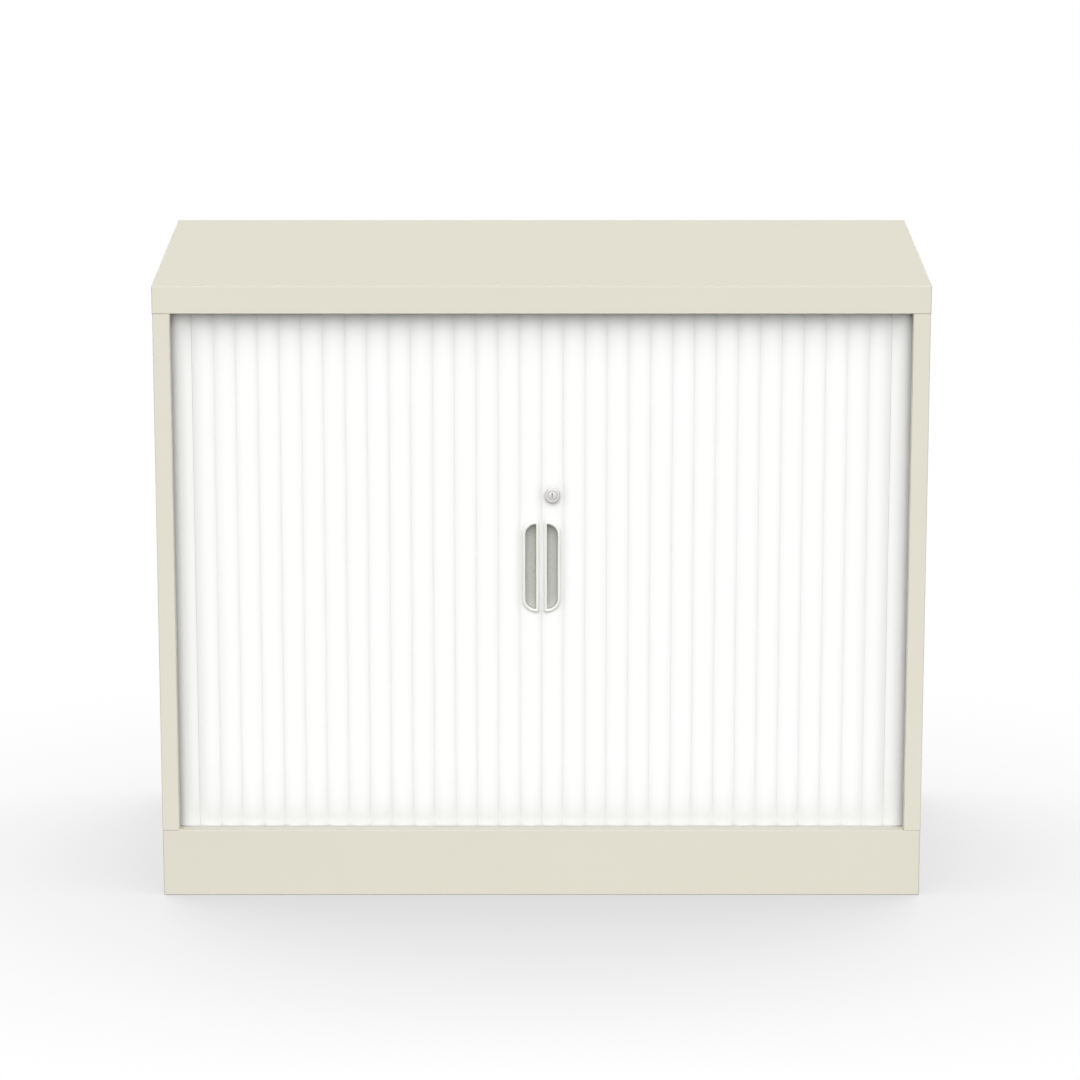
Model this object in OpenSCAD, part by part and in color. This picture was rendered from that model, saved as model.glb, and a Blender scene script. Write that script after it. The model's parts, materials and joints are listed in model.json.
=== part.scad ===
// Low steel storage cupboard with two side-opening tambour doors.
// The origin is on the floor, in the middle of the cupboard. X runs to the right, Y to the back, Z up.

/* [Overall] */
// Width over the top panel
width = 1000; // [900:10:1200]
// Depth over the top panel
depth = 470; // [440:5:520]
// Height from the floor to the top
height = 820; // [740:5:1000]

/* [Sheet steel] */
// Thickness of the folded steel sheet
sheet = 0.9; // [0.7:0.1:1.1]
// Inside radius of a fold
fold_r = 0.6; // [0.5:0.1:1.2]
// Clearance where one sheet lies inside another
sheet_gap = 0.1; // [0.05:0.05:0.2]

/* [Top panel] */
// Height of the lip round the top panel
lip_h = 37; // [34:1:50]
// Reach of the lip past a side panel
lip_reach = 0.6; // [0.4:0.1:0.8]
// Return under the front and back lips
lip_turn = 14; // [13:0.5:15]
// Width of the stiffener under the top panel
stiffener_w = 70; // [40:5:120]

/* [Plinth] */
// Height of the plinth
plinth_h = 90; // [80:5:120]
// Set-in of the plinth from the ends of the top panel
plinth_in = 0.8; // [0.7:0.1:1]
// Set-in of the plinth from the front and back of the top panel
plinth_set = 0.4; // [0.2:0.1:0.6]
// Return under the foot of the plinth
plinth_turn = 16; // [10:1:20]
// Width of the return along the top of the plinth's front
plinth_lip = 4.6; // [3.5:0.1:6]
// Seam between the plinth's return and the ledge
ledge_seam = 1.1; // [0.8:0.1:1.5]

/* [Side panels] */
// Face width of a front post
post_w = 22.5; // [21:0.5:26]
// Depth of a front post's return
post_return = 14; // [10:0.5:15]
// Width of the flange at the back
back_flange = 16; // [12:1:24]
// Length of the joggled edge inside the top and the plinth
joggle = 14; // [8:1:16]

/* [Curtain slats] */
// Pitch of the slats
slat_pitch = 28.2; // [26:0.2:30]
// Thickness over the crown
slat_t = 8; // [7.4:0.1:8.2]
// Height of the crown
crown = 2.8; // [2:0.1:3.4]
// Wall of the hollow slat
slat_wall = 1.3; // [1:0.1:1.5]
// Gap between two slats at the valley
valley_gap = 0.4; // [0.3:0.1:0.8]
// Radius of the bead that hooks into the next slat
bead_r = 1.3; // [1.1:0.1:1.4]
// Clearance round the bead
bead_gap = 0.2; // [0.15:0.05:0.3]
// Distance of the bead behind the valley
bead_back = 3; // [2.8:0.1:3.4]
// Length of the solid ends of a lead slat
end_plug = 10; // [6:1:16]

/* [Curtain track] */
// Distance of the curtain's crest behind the front
curtain_set = 20; // [17:0.5:21]
// Distance of the curtain's middle from the side panel's outside
pocket_set = 8.4; // [8.2:0.1:9]
// Radius of the curtain's turn at the corner
corner_r = 30; // [28:1:36]
// Radius of the groove's inner wall at the corner
groove_r = 38; // [34:1:42]
// Running gap each side of the slats in the groove
groove_gap = 0.5; // [0.4:0.1:0.6]
// Wall of the track
track_wall = 1.1; // [0.9:0.1:1.2]
// Height of the track
track_h = 12; // [10:0.5:13]
// Floor of the track
track_floor = 2.2; // [1.8:0.1:3]
// Clearance under a slat's foot
foot_gap = 0.3; // [0.2:0.1:0.5]
// Clearance over a slat's head
head_gap = 1.5; // [1:0.1:2.5]
// Length of a stop at the end of a groove
stop_l = 3; // [2:0.5:3]

/* [Pulls] */
// Height of a pull
pull_h = 122; // [100:1:140]
// Width of a pull
pull_w = 21.6; // [20:0.1:22]
// Distance of a pull from the meeting line
pull_in = 3.3; // [3:0.1:4]
// Radius of a pull's outer corners
pull_r = 18; // [10:1:18]
// Radius of a pull's inner corners
pull_small_r = 3; // [2.5:0.1:3.5]
// Width of a pull's rim
pull_rim = 3.9; // [3.4:0.1:4.4]
// Height of the rim over the crest
rim_proud = 2; // [1:0.1:2.4]
// Depth of a pull behind the slats' backs
pull_back = 2.5; // [1.5:0.1:4]
// Wall of a pull
pull_wall = 1.4; // [1:0.1:1.6]
// Height of the pulls' middle over the floor
pull_z = 443.5; // [400:0.5:460]

/* [Lock] */
// Height of the lock over the pulls' middle
lock_over = 96; // [90:1:110]
// Diameter of the lock's collar
collar_d = 19.5; // [18.5:0.5:21]
// Thickness of the lock's collar
collar_t = 5; // [3:0.5:6]
// Bevel round the collar's face
collar_bevel = 1.6; // [0.6:0.1:2]
// Diameter of the lock's body
barrel_d = 16; // [14:0.5:16.5]
// Length of the lock's body
barrel_l = 21; // [19:1:24]
// Diameter of the turning plug
plug_d = 12; // [11:0.5:12.5]
// Running gap round the plug
plug_gap = 0.05; // [0.03:0.01:0.08]
// Reach of the cam from the plug's axis
cam_reach = 25; // [24.5:0.5:26]

/* [Shelf and liners] */
// Distance of a liner from the curtain's middle
liner_set = 7; // [6.8:0.1:8]
// Height of the shelf's top over the floor
shelf_z = 440; // [300:5:560]
// Thickness of the shelf
shelf_t = 25; // [20:1:30]
// Distance of the shelf's front behind the front
shelf_set = 66; // [62:1:90]
// Side clearance of the shelf
shelf_gap = 1.5; // [1:0.1:2.5]
// Pitch of the shelf slots
slot_pitch = 32; // [25:1:50]

/* [Levelling feet] */
// Distance of a foot from the ends, front and back
foot_in = 48; // [44:1:60]
// Diameter of a foot's pad
pad_d = 38; // [30:1:44]
// Radius of a foot's threaded stem
stem_r = 4.9; // [3.9:0.1:5.9]
// Clearance of the pad over the floor
pad_lift = 1; // [0.5:0.1:3]

/* [Hidden] */
$fn = 48;
named_slats = [3:11];
function two(i) = str(i < 10 ? "0" : "", i);

cream = [0.886, 0.871, 0.812];
white = [0.97, 0.97, 0.965];
eps = 0.01;

half = width / 2;
front = -depth / 2;
back = depth / 2;
lip_z = height - lip_h;
outer_r = fold_r + sheet;
plan_r = 2;

side_x = half - lip_reach;
joggle_x = min(half - sheet, half - plinth_in - sheet) - sheet_gap;
joggle_y = back - lip_turn - 0.3;
side_back = back - lip_reach;
plinth_x = half - plinth_in;
plinth_y = back - plinth_set;

// The curtain's middle plane at the front and in the side pocket
curtain_y = front + curtain_set + slat_t / 2;
pocket_x = side_x - pocket_set;
groove = slat_t / 2 + groove_gap;
track_out = groove + track_wall;
turn_y = curtain_y + corner_r;
track_end = back - 7;

// Levels of the floor, the ceiling and the slats
base_z = plinth_h - track_h;
top_track_z = lip_z + 2;
ceiling_z = top_track_z + track_h + 2;
top_track_h = ceiling_z - top_track_z;
slat_z = base_z + track_floor + foot_gap;
slat_top = ceiling_z - track_floor - head_gap;
slat_h = slat_top - slat_z;

// A slat's section has its origin at the bead that it hangs on
bead_y = curtain_y + slat_t / 2 - 2 * bead_r;
ring_r = 2 * bead_r;
bore_r = bead_r + bead_gap;
crest_v = slat_t - ring_r;
chord = slat_pitch - valley_gap;
crown_r = (chord * chord / 4 + crown * crown) / (2 * crown);
neck = 1;
hinge_r = corner_r - (bead_y - curtain_y);
hinge_x = pocket_x - (bead_y - curtain_y);
straight = hinge_x - hinge_r;
slats = ceil((straight + hinge_r * PI / 2) / slat_pitch);

lead_mid = slat_pitch / 2;
lock_z = pull_z + lock_over;
crest_y = curtain_y - slat_t / 2;
slat_back_y = curtain_y + slat_t / 2;

liner_x = pocket_x - liner_set;
liner_in = liner_x - sheet;
liner_r = groove_r - (liner_set - groove);
floor_x = pocket_x - track_out - 0.2;
shelf_front = front + shelf_set;
shelf_back = back - 12;
clip_ys = [shelf_front + 35, shelf_back - 35];
liner_flange = 18;
slot_h = 12;
slot_first = plinth_h + 40;
slot_count = floor((ceiling_z - 60 - slot_first) / slot_pitch);
clip_slot = round((shelf_z - shelf_t - slot_first) / slot_pitch);

// ---- Folded sheet ----

function unit(v) = v / norm(v);
function left_of(v) = [-v.y, v.x];

// Points of one bend between the legs a-b and b-c, on the line that lies d to the left of them
function bend(a, b, c, r, d) =
  let (
    u = unit(b - a),
    w = unit(c - b),
    side = u.x * w.y - u.y * w.x > 0 ? 1 : -1,
    sweep = acos(u * w),
    run = r * tan(sweep / 2),
    centre = b - u * run + left_of(u) * side * r,
    steps = max(3, ceil(sweep / 15))
  )
  [for (k = [0:steps])
    let (t = side * sweep * k / steps, spoke = left_of(u) * -side)
    centre + (r - side * d) * [spoke.x * cos(t) - spoke.y * sin(t), spoke.x * sin(t) + spoke.y * cos(t)]];

// One side of a folded strip; radii are those of the line along its right-hand face
function strip_side(path, radii, d) =
  let (
    last = len(path) - 1,
    first_leg = unit(path[1] - path[0]),
    last_leg = unit(path[last] - path[last - 1])
  )
  concat(
    [path[0] + left_of(first_leg) * d],
    [for (i = [1:1:last - 1]) each bend(path[i - 1], path[i], path[i + 1], radii[i - 1], d)],
    [path[last] + left_of(last_leg) * d]
  );

// Section of a sheet folded along path, its thickness to the left of the path
module folded(path, radii) {
  outside = strip_side(path, radii, 0);
  inside = strip_side(path, radii, sheet);
  polygon(concat(outside, [for (i = [len(inside) - 1:-1:0]) inside[i]]));
}

// ---- Rounded shapes ----

// Rectangle with its own radius at each corner, in the order bottom left, bottom right, top right, top left
module round_rect(lo, hi, radii) {
  at = [lo, [hi.x, lo.y], hi, [lo.x, hi.y]];
  way = [[1, 1], [-1, 1], [-1, -1], [1, -1]];
  difference() {
    translate(lo) square(hi - lo);
    for (k = [0:3]) {
      r = radii[k];
      if (r > 0)
        translate(at[k]) turned_to(way[k]) difference() {
          translate([-1, -1]) square(r + 1);
          translate([r, r]) circle(r);
        }
    }
  }
}

// Mirrors its children into the quadrant that the signs give
module turned_to(way) {
  mirror([way.x < 0 ? 1 : 0, 0]) mirror([0, way.y < 0 ? 1 : 0]) children();
}

// Block between two corners with radii in plan, in the front view and in the side view
module block(lo, hi, plan, face, side) {
  intersection() {
    translate([0, 0, lo.z]) linear_extrude(hi.z - lo.z)
      round_rect([lo.x, lo.y], [hi.x, hi.y], plan);
    translate([0, hi.y, 0]) rotate([90, 0, 0]) linear_extrude(hi.y - lo.y)
      round_rect([lo.x, lo.z], [hi.x, hi.z], face);
    translate([lo.x, 0, 0]) rotate([90, 0, 90]) linear_extrude(hi.x - lo.x)
      round_rect([lo.y, lo.z], [hi.y, hi.z], side);
  }
}

module box(lo, hi) {
  translate(lo) cube(hi - lo);
}

// The left-hand twin of a right-hand piece
module twin() {
  mirror([1, 0, 0]) children();
}

// ---- Curtain track ----

// Area on the inner side of the curtain's line moved outwards by off, back to y_end
module inside(off, r, y_end) {
  x = pocket_x + off;
  y = curtain_y - off;
  square_to([0, y], [x - r, y_end]);
  square_to([x - r - eps, y + r], [x, y_end]);
  translate([x - r, y + r]) circle(r);
}

module square_to(lo, hi) {
  translate(lo) square(hi - lo);
}

module track_plan() {
  difference() {
    inside(track_out, corner_r + track_out, track_end);
    inner_area(-track_out, groove_r - track_wall);
  }
}

module groove_plan() {
  difference() {
    inside(groove, corner_r + groove, back);
    inner_area(-groove, groove_r);
  }
}

module inner_area(off, r) {
  inside(off, r, back + 1);
  square_to([-1, curtain_y - off], [1, back + 1]);
}

// Places along a right-hand track for its screws
track_spots = concat(
  [for (k = [0:2]) [50 + k * (pocket_x - 130) / 2, curtain_y]],
  [for (k = [0:2]) [pocket_x, turn_y + 30 + k * (track_end - turn_y - 60) / 2]]
);
screw_r = 1.7;
screw_head_r = 3.4;
screw_l = 7;

module at_spots() {
  for (p = track_spots) translate([p.x, p.y, 0]) children();
}

module right_bottom_track() {
  color([0.76, 0.77, 0.76])
    difference() {
      translate([0, 0, base_z]) linear_extrude(track_h) track_plan();
      translate([0, 0, base_z + track_floor]) linear_extrude(track_h) groove_plan();
      at_spots() translate([0, 0, base_z + track_floor]) mirror([0, 0, 1]) screw_hole();
      box([-1, front, base_z - 1], [valley_gap / 2, back, plinth_h + 1]);
    }
}

module right_top_track() {
  color([0.76, 0.77, 0.76])
    difference() {
      translate([0, 0, top_track_z]) linear_extrude(top_track_h) track_plan();
      translate([0, 0, top_track_z - eps])
        linear_extrude(top_track_h - track_floor + eps) groove_plan();
      at_spots() translate([0, 0, ceiling_z - track_floor]) screw_hole();
      box([-1, front, top_track_z - 1], [valley_gap / 2, back, ceiling_z + 1]);
    }
}

// Clearance hole and countersink, the head at z = 0 and the point upwards
module screw_hole() {
  translate([0, 0, -eps]) cylinder(h = screw_l, r = screw_r + 0.15);
  translate([0, 0, -eps]) cylinder(h = screw_head_r - screw_r, r1 = screw_head_r + 0.15, r2 = screw_r + 0.15);
}

module track_screw() {
  difference() {
    union() {
      cylinder(h = screw_l, r = screw_r);
      cylinder(h = screw_head_r - screw_r, r1 = screw_head_r, r2 = screw_r);
    }
    translate([0, 0, -eps]) cylinder(h = 1, r = 1.2, $fn = 4);
  }
}

module track_screws() {
  color([0.7, 0.7, 0.7])
    for (hand = [0, 1]) mirror([hand, 0, 0]) at_spots() {
      translate([0, 0, base_z + track_floor]) mirror([0, 0, 1]) track_screw();
      translate([0, 0, ceiling_z - track_floor]) track_screw();
    }
}

// Rubber blocks that end the curtains' travel in the grooves
module curtain_stops() {
  color([0.2, 0.2, 0.2])
    for (hand = [0, 1]) mirror([hand, 0, 0])
      for (z = [base_z + track_floor, top_track_z + 1])
        box([pocket_x - groove, track_end - stop_l, z],
          [pocket_x + groove, track_end, z + track_h - track_floor - 1]);
}

// ---- Slats ----

// Closed section between the crown and the back, its edges at u0 and u1
module slat_body(u0, u1, mid, wall) {
  intersection() {
    translate([mid, crest_v - crown_r]) circle(crown_r - wall, $fn = 200);
    square_to([u0 + wall, -ring_r + wall], [u1 - wall, crest_v + 1]);
  }
}

// Neck and bead that hook into the next slat
module bead(u0) {
  square_to([u0 - eps, -neck / 2], [slat_pitch, neck / 2]);
  translate([slat_pitch, 0]) circle(bead_r);
}

// Section of a following slat: a hooked ring at the origin, a hollow body and a bead one pitch on
module slat_section() {
  mid = slat_pitch / 2 - bead_back;
  u0 = valley_gap / 2 - bead_back;
  u1 = slat_pitch - bead_back - valley_gap / 2;
  hood = crest_v - crown - slat_wall;
  difference() {
    union() {
      slat_body(u0, u1, mid, 0);
      bead(u1);
    }
    // Room for the last slat's neck and for the turn at a corner
    square_to([u0 - 1, -ring_r - 1], [0, hood]);
    circle(bore_r);
    square_to([-1, -ring_r - 1], [ring_r - 0.8, -bore_r * 0.5]);
    difference() {
      slat_body(ring_r, u1, mid, slat_wall);
      circle(ring_r + 0.4);
    }
  }
  // The ring, open towards the back so that the curtain bends one way
  difference() {
    circle(ring_r);
    circle(bore_r);
    polygon([[0, 0], for (a = [152:11:262]) 2 * ring_r * [cos(a), sin(a)]]);
  }
}

// Closed body of a lead slat, drawn in by wall; its meeting edge is on the centre line
module lead_body(wall) {
  slat_body(valley_gap / 2, slat_pitch - valley_gap / 2, lead_mid, wall);
}

// Point on the beads' line at distance s from the middle of the cupboard
function line_at(s) =
  s <= straight ? [s, bead_y]
  : let (a = (s - straight) / hinge_r * 180 / PI)
    a <= 90 ? [straight + hinge_r * sin(a), bead_y + hinge_r - hinge_r * cos(a)]
    : [hinge_x, bead_y + hinge_r + s - straight - hinge_r * PI / 2];

// Distance along the line at which the next bead lies one pitch away from the bead at s
function next_bead(s, lo, hi, n) =
  n == 0 ? (lo + hi) / 2
  : let (m = (lo + hi) / 2)
    norm(line_at(m) - line_at(s)) < slat_pitch ? next_bead(s, m, hi, n - 1) : next_bead(s, lo, m, n - 1);

function bead_at(i) =
  i * slat_pitch + bead_back <= straight ? i * slat_pitch + bead_back
  : let (s = bead_at(i - 1)) next_bead(s, s + slat_pitch * 0.9, s + slat_pitch * 1.4, 30);

// Following slat number i of the right-hand door, upright in its place
module slat(i) {
  a = line_at(bead_at(i - 1));
  b = line_at(bead_at(i));
  color(white)
    translate([a.x, a.y, slat_z]) rotate(atan2(b.y - a.y, b.x - a.x))
      linear_extrude(slat_h) mirror([0, 1]) slat_section();
}

module tail_slats() {
  for (i = [12:slats]) slat(i);
}

// Stands its children up on the curtain's line, from z over a slat's foot
module stand_up(z, h) {
  translate([0, bead_y, slat_z + z]) linear_extrude(h) mirror([0, 1]) children();
}

module lead_slat() {
  difference() {
    stand_up(0, slat_h) {
      lead_body(0);
      translate([bead_back, 0]) bead(slat_pitch - valley_gap / 2 - bead_back);
    }
    stand_up(end_plug, slat_h - 2 * end_plug) lead_body(slat_wall);
    translate([0, slat_back_y + 1, 0]) rotate([90, 0, 0]) linear_extrude(slat_t + 2)
      dee(pull_rim - pull_wall - 0.15);
  }
}

module left_lead_slat() {
  color(white) difference() {
    twin() lead_slat();
    for (x = striker_screw_xs) face_on(x, striker_screw_z) cylinder(h = -curtain_y, r = 1.6);
  }
}

module right_lead_slat() {
  color(white) difference() {
    lead_slat();
    face_on(lead_mid, lock_z) cylinder(h = -front, r = barrel_d / 2 + 0.2);
  }
}

// ---- Pulls ----

// Outline of a pull in the front view, drawn in by inset: straight at the meeting line, round outside
module dee(inset) {
  lo = [pull_in + inset, pull_z - pull_h / 2 + inset];
  hi = [pull_in + pull_w - inset, pull_z + pull_h / 2 - inset];
  big = pull_r - inset;
  small = max(pull_small_r - inset, 0.8);
  round_rect(lo, hi, [small, big, big, small]);
}

module dee_block(inset, y_front, y_back) {
  translate([0, y_back, 0]) rotate([90, 0, 0]) linear_extrude(y_back - y_front) dee(inset);
}

// Recessed pull whose rim lies on the slat's crown
module right_pull() {
  rim_y = crest_y - rim_proud;
  bottom_y = slat_back_y + pull_back;
  color([0.91, 0.918, 0.886]) difference() {
    union() {
      difference() {
        dee_block(0, rim_y, crest_y + crown);
        translate([lead_mid, crest_y + crown_r, 0]) cylinder(h = height, r = crown_r + 0.05, $fn = 200);
      }
      dee_block(pull_rim - pull_wall, rim_y + 0.5, bottom_y);
    }
    dee_block(pull_rim, rim_y - 1, bottom_y - pull_wall);
  }
}

// ---- Lock ----

// Turns children so that their z runs forwards from y = 0, on a line through x and z
module face_on(x, z) {
  translate([x, 0, z]) rotate([90, 0, 0]) children();
}

// Distances of the lock's parts in front of y = 0
collar_back = -crest_y;
collar_front = collar_back + collar_t;
barrel_end = collar_back - barrel_l;
cam_front = barrel_end - 0.3;
cam_t = 2.5;
cam_back = cam_front - cam_t;
cam_half = 3;
tooth_len = 8;
tooth_w = 6;
shank = 7;

module lock_barrel() {
  straight = collar_t - collar_bevel;
  color([0.8, 0.81, 0.82]) face_on(lead_mid, lock_z) difference() {
    union() {
      translate([0, 0, collar_back]) cylinder(h = straight, d = collar_d);
      translate([0, 0, collar_back + straight])
        cylinder(h = collar_bevel, d1 = collar_d, d2 = collar_d - 2 * collar_bevel);
      translate([0, 0, barrel_end]) cylinder(h = barrel_l, d = barrel_d);
    }
    cylinder(h = -front, r = plug_d / 2 + plug_gap);
  }
}

module lock_nut() {
  nut_t = 3.5;
  color([0.72, 0.72, 0.72]) face_on(lead_mid, lock_z)
    translate([0, 0, -slat_back_y - nut_t]) difference() {
      cylinder(h = nut_t, d = barrel_d + 7, $fn = 6);
      translate([0, 0, -1]) cylinder(h = nut_t + 2, d = barrel_d);
    }
}

module lock_plug() {
  key_w = 1.8;
  key_h = 7.4;
  color([0.85, 0.86, 0.87]) face_on(lead_mid, lock_z) difference() {
    union() {
      translate([0, 0, cam_front]) cylinder(h = collar_front - 0.3 - cam_front, d = plug_d);
      translate([-shank / 2, -shank / 2, cam_back]) cube([shank, shank, cam_t + eps]);
    }
    translate([-key_w / 2, -key_h / 2, collar_front - 9]) cube([key_w, key_h, 10]);
    translate([key_w / 2 - eps, -1.2, collar_front - 9]) cube([0.8, 2, 10]);
    translate([0, 0, cam_back - 1]) cylinder(h = 10, r = 2);
  }
}

// Cam with its hook at the free end; it stands up while the doors are free
module lock_cam() {
  color([0.75, 0.75, 0.74]) face_on(lead_mid, lock_z) translate([0, 0, cam_back]) difference() {
    union() {
      cylinder(h = cam_t, r = 7.5);
      translate([-cam_half, 0, 0]) cube([2 * cam_half, cam_reach, cam_t]);
      translate([-cam_half - tooth_len, cam_reach - 0.5 - tooth_w, 0]) cube([tooth_len + eps, tooth_w, cam_t]);
    }
    translate([-shank / 2, -shank / 2, -1]) cube([shank, shank, cam_t + 2]);
  }
}

module cam_screw() {
  color([0.7, 0.7, 0.7]) face_on(lead_mid, lock_z) difference() {
    union() {
      translate([0, 0, cam_back - 2]) cylinder(h = 2, r = 5);
      translate([0, 0, cam_back - eps]) cylinder(h = 8, r = 2);
    }
    translate([0, 0, cam_back - 2.01]) cylinder(h = 1.2, r = 1.8, $fn = 6);
  }
}

// Bracket on the left lead slat whose slot takes the cam's hook
striker_t = 1.5;
striker_top = lock_z - cam_half - 1;
striker_low = striker_top - 26;
striker_screw_xs = [-7, -19];
striker_screw_z = striker_top - 17;

module striker() {
  x0 = -25;
  x1 = -1;
  slot_x = [lead_mid - sqrt(cam_reach * cam_reach + 11 * 11) - 0.2, lead_mid - cam_reach + 0.5 + tooth_w + 0.6];
  color([0.75, 0.75, 0.74]) difference() {
    union() {
      box([x0, slat_back_y, striker_low], [x1, slat_back_y + striker_t, striker_top]);
      box([x0, slat_back_y, striker_top - striker_t], [x1, -cam_back + 3, striker_top]);
    }
    box([slot_x[0], -cam_front - 1.3, striker_top - 3], [slot_x[1], -cam_back + 1, striker_top + 1]);
    for (x = striker_screw_xs) face_on(x, striker_screw_z) cylinder(h = -curtain_y, r = 1.6);
  }
}

module striker_screws() {
  seat = -slat_back_y - striker_t;
  color([0.7, 0.7, 0.7])
    for (x = striker_screw_xs) face_on(x, striker_screw_z) {
      translate([0, 0, seat - 1.8]) cylinder(h = 1.8, r = 2.8);
      translate([0, 0, seat - eps]) cylinder(h = 4, r = 1.5);
    }
}

// ---- Carcass ----

module top_panel() {
  color(cream) difference() {
    block([-half, front, lip_z], [half, back, height],
      [plan_r, plan_r, plan_r, plan_r], [0, 0, outer_r, outer_r], [outer_r, outer_r, outer_r, outer_r]);
    block([-half + sheet, front + sheet, lip_z + sheet], [half - sheet, back - sheet, height - sheet],
      [1, 1, 1, 1], [0, 0, fold_r, fold_r], [fold_r, fold_r, fold_r, fold_r]);
    box([-half + sheet, front + lip_turn, lip_z - 1], [half - sheet, back - lip_turn, lip_z + 2 * sheet]);
  }
}

// Hat section between the ceiling and the top panel
module top_stiffener() {
  rise = height - sheet - ceiling_z - sheet;
  w = stiffener_w / 2;
  brim = 14;
  z0 = ceiling_z + sheet;
  color(cream) translate([-half + 40, 0, z0]) rotate([90, 0, 90]) linear_extrude(width - 80)
    folded([[w + brim, sheet], [w, sheet], [w, rise], [-w, rise], [-w, sheet], [-w - brim, sheet]],
      [fold_r, outer_r, outer_r, fold_r]);
}

// Ceiling, whose front and back flanges stand on the returns of the top panel
module inner_top() {
  y = back - lip_turn + 1.8;
  z0 = lip_z + sheet;
  color(cream) difference() {
    translate([-joggle_x + sheet + sheet_gap, 0, 0]) rotate([90, 0, 90])
      linear_extrude(2 * (joggle_x - sheet - sheet_gap))
        folded([[y, z0], [y, ceiling_z + sheet], [-y, ceiling_z + sheet], [-y, z0]], [outer_r, outer_r]);
    for (hand = [0, 1]) mirror([hand, 0, 0]) {
      at_spots() translate([0, 0, ceiling_z - 1]) cylinder(h = 4, r = screw_r + 0.1);
      // The back flange stops short of the curtain's pocket
      box([liner_x, back - 2 * lip_turn, lip_z], [half, back, ceiling_z]);
    }
  }
}

// Skin, front post and back flange folded from one sheet
module right_side_panel() {
  path = [[side_x - post_w, front + post_return], [side_x - post_w, front], [side_x, front],
    [side_x, side_back], [side_x - back_flange, side_back]];
  color(cream) {
    difference() {
      translate([0, 0, plinth_h]) linear_extrude(lip_z - plinth_h)
        folded(path, [outer_r, outer_r, outer_r]);
      rivet_spots() translate([0, 0, side_back - 2]) cylinder(h = 4, r = rivet_r + 0.1);
    }
    // The skin steps in by its own thickness to stand inside the top panel and the plinth
    for (z = [plinth_h - joggle, lip_z - 1])
      box([joggle_x - sheet, -joggle_y, z], [joggle_x, joggle_y, z + joggle + 1]);
    for (z = [plinth_h, lip_z - 1])
      box([joggle_x - sheet, -joggle_y, z], [side_x - eps, joggle_y, z + 1]);
  }
}

module back_panel() {
  y = side_back - sheet;
  color(cream)
    difference() {
      box([-joggle_x + 3, y - sheet, base_z], [joggle_x - 3, y, lip_z]);
      rivet_spots() translate([0, 0, -back]) cylinder(h = depth, r = rivet_r + 0.1);
    }
}

// Floor of the cupboard, raised between the tracks, with a flange that carries them
module base_panel() {
  y_end = side_back - 2 * sheet - 0.2;
  x = joggle_x - sheet - sheet_gap;
  color(cream) difference() {
    union() {
      box([-x, sill_y, base_z - sheet], [x, y_end, base_z]);
      for (hand = [0, 1]) mirror([hand, 0, 0])
        translate([0, 0, base_z - sheet]) linear_extrude(track_h + sheet) floor_plan(0, y_end);
    }
    for (hand = [0, 1]) mirror([hand, 0, 0]) {
      translate([0, 0, base_z - sheet - 1]) linear_extrude(track_h + 1) floor_plan(sheet, y_end - sheet);
      at_spots() translate([0, 0, base_z - 2]) cylinder(h = 4, r = screw_r + 0.1);
    }
  }
}

// Plan of the raised floor, drawn in by inset
module floor_plan(inset, y_end) {
  off = floor_x - pocket_x - inset;
  inside(off, groove_r - track_wall - 0.2 - inset, y_end);
  square_to([-1, curtain_y - off], [1, y_end]);
}

// Back and front of the ledge in front of the curtain
ledge_y = curtain_y - track_out - 0.1;
sill_y = -plinth_y + plinth_lip + ledge_seam;

// Ledge folded down at the back as the groove's front wall and at the front behind the seam
module front_sill() {
  x = joggle_x - sheet - sheet_gap;
  color(cream) translate([-x, 0, 0]) rotate([90, 0, 90]) linear_extrude(2 * x)
    folded([[ledge_y, base_z], [ledge_y, plinth_h], [sill_y, plinth_h], [sill_y, base_z]], [outer_r, outer_r]);
}

module plinth() {
  color(cream) difference() {
    block([-plinth_x, -plinth_y, 0], [plinth_x, plinth_y, plinth_h],
      [plan_r, plan_r, plan_r, plan_r], [outer_r, outer_r, 0, 0], [outer_r, outer_r, 0, outer_r]);
    block([-plinth_x + sheet, -plinth_y + sheet, sheet], [plinth_x - sheet, plinth_y - sheet, plinth_h - sheet],
      [1, 1, 1, 1], [fold_r, fold_r, 0, 0], [fold_r, fold_r, 0, fold_r]);
    box([-plinth_x + plinth_turn, -plinth_y + plinth_turn, -1],
      [plinth_x - plinth_turn, plinth_y - plinth_turn, 2 * sheet]);
    box([-plinth_x + sheet, -plinth_y + plinth_lip, plinth_h - 2 * sheet],
      [plinth_x - sheet, plinth_y - sheet, plinth_h + 1]);
  }
}

// ---- Inside ----

// Inner wall of a side pocket, its front edge rolled round the curtain's turn
module right_liner() {
  y = curtain_y + liner_set;
  hem = 10;
  path = [[liner_x - liner_r - hem, y + hem], [liner_x - liner_r - hem, y], [liner_x, y],
    [liner_x, back - 8], [liner_x - liner_flange, back - 8]];
  color(cream) difference() {
    translate([0, 0, plinth_h]) linear_extrude(ceiling_z - plinth_h)
      folded(path, [outer_r, liner_r, outer_r]);
    for (y = clip_ys) for (k = [0:slot_count])
      box([liner_in - 1, y - 2, slot_first + k * slot_pitch],
        [liner_x + 1, y + 2, slot_first + k * slot_pitch + slot_h]);
    // Notch round the top panel's return and the ceiling's back flange
    box([liner_x - liner_flange - 1, back - lip_turn - 1, lip_z - 1], [liner_x + 1, back, ceiling_z + 1]);
  }
}

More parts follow.
